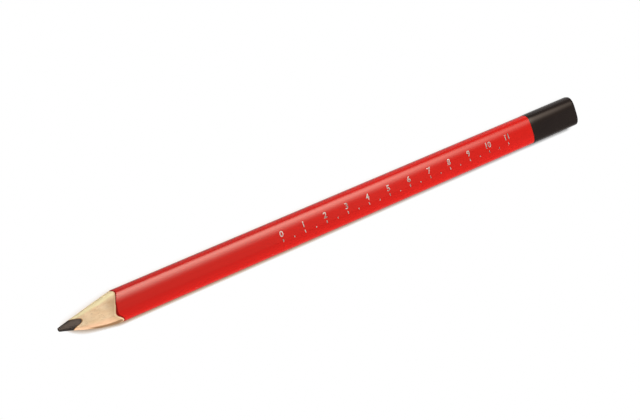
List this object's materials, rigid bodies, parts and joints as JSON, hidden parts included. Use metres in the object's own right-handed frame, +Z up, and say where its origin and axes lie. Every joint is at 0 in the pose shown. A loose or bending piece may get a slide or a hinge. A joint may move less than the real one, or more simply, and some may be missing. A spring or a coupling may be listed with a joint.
{
  "type": "marking pencil",
  "caption": "Flat-oval wood-cased marking pencil with a thick graphite lead, cut to a blunt tapered point, red lacquer and a black dipped end.",
  "frame": {"origin": "on the surface the pencil lies on, under the middle of its bounding box", "axes": "+X along the pencil from the point to the dipped end, +Z up through the two broad faces, +Y across the width"},
  "size_m": [0.24, 0.0124, 0.008],
  "materials": {
    "lead": "satin fired graphite and clay, scraped lengthwise by the knife",
    "case_wood": "bare knife-cut softwood, pale, fine straight grain along the pencil",
    "glue": "set wood glue, amber, satin",
    "primer": "pale matt ground coat",
    "lacquer_red": "glossy red lacquer with slight orange peel",
    "lacquer_black": "glossy black dipped lacquer",
    "foil": "hot-stamped silver foil, thin, slightly broken"
  },
  "bodies": {
    "root": {"lead_core": "lead", "slat_upper": "case_wood", "slat_lower": "case_wood", "glue_line": "glue", "primer_coat": "primer", "red_lacquer": "lacquer_red", "black_dip": "lacquer_black"}
  },
  "joints": []
}
